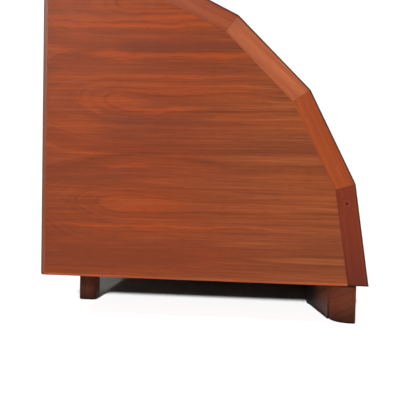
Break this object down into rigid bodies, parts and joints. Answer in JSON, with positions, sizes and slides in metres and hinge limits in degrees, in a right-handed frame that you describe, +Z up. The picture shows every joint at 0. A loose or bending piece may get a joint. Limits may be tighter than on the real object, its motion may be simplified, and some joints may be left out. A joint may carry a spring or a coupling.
{
  "type": "photo album stand",
  "caption": "Open album stand with veneered quarter-round faceted sides, mitred edge strips, dividers, a low front rail, a front foot runner and rear block feet.",
  "frame": {"origin": "on the floor, at the middle of the bounding box's base", "axes": "+X towards the open, faceted front; +Y towards the right-hand side as seen from the front; +Z up"},
  "size_m": [0.4054, 0.42, 0.446],
  "materials": {
    "walnut_veneer": "oiled, satin, fine dark pores",
    "walnut_strip": "oiled solid wood, satin",
    "walnut_board": "oiled veneer, satin",
    "dark_walnut": "stained solid wood, satin",
    "plywood_core": "bare plywood",
    "beech_dowel": "bare fluted beech",
    "brass_screw": "plain, a little dulled",
    "steel_screw": "zinc plated"
  },
  "bodies": {
    "root": {"left_side_core": "plywood_core", "left_outer_veneer": "walnut_veneer", "left_inner_veneer": "walnut_veneer", "left_facet_strip_1": "walnut_strip", "left_facet_strip_2": "walnut_strip", "left_facet_strip_3": "walnut_strip", "left_facet_strip_4": "walnut_strip", "left_facet_strip_5": "walnut_strip", "left_back_lipping": "walnut_strip", "left_bottom_lipping": "walnut_strip", "left_tongues": "plywood_core", "left_glue_block": "dark_walnut", "left_rear_foot": "dark_walnut", "right_side_core": "plywood_core", "right_outer_veneer": "walnut_veneer", "right_inner_veneer": "walnut_veneer", "right_facet_strip_1": "walnut_strip", "right_facet_strip_2": "walnut_strip", "right_facet_strip_3": "walnut_strip", "right_facet_strip_4": "walnut_strip", "right_facet_strip_5": "walnut_strip", "right_back_lipping": "walnut_strip", "right_bottom_lipping": "walnut_strip", "right_tongues": "plywood_core", "right_glue_block": "dark_walnut", "right_rear_foot": "dark_walnut", "bottom_board": "walnut_board", "top_board": "walnut_board", "front_rail": "walnut_strip", "back_board": "walnut_board", "divider_1": "walnut_board", "divider_lipping_1": "walnut_strip", "divider_2": "walnut_board", "divider_lipping_2": "walnut_strip", "divider_3": "walnut_board", "divider_lipping_3": "walnut_strip", "front_runner": "dark_walnut", "bottom_board_dowels": "beech_dowel", "top_board_dowels": "beech_dowel", "front_rail_dowels": "beech_dowel", "back_board_screws": "brass_screw", "runner_screws": "steel_screw"}
  },
  "joints": []
}
